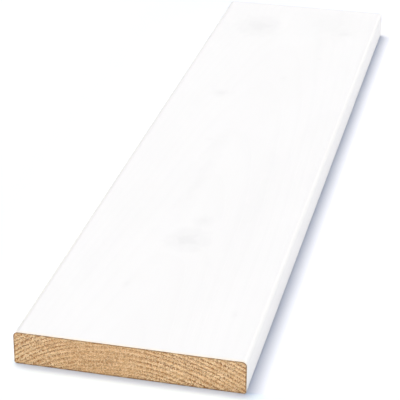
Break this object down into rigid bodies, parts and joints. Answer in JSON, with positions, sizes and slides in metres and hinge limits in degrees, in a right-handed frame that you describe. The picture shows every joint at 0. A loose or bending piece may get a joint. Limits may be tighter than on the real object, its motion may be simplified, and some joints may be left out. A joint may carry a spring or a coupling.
{
  "type": "exterior cladding board",
  "caption": "Flat softwood cladding board of rectangular section with rounded face edges, white painted, with bare square-cut ends.",
  "frame": {"origin": "middle of the flat back face, which the board lies on", "axes": "+Z from the back to the weather face, Y along the board's length with the near cut end at -Y, X across its width"},
  "size_m": [0.145, 0.63, 0.022],
  "materials": {
    "painted_softwood": "satin opaque white paint on the face, edges and back of solid softwood; the two cut ends are bare, pale brown end grain"
  },
  "bodies": {
    "root": {"cladding_board": "painted_softwood"}
  },
  "joints": []
}
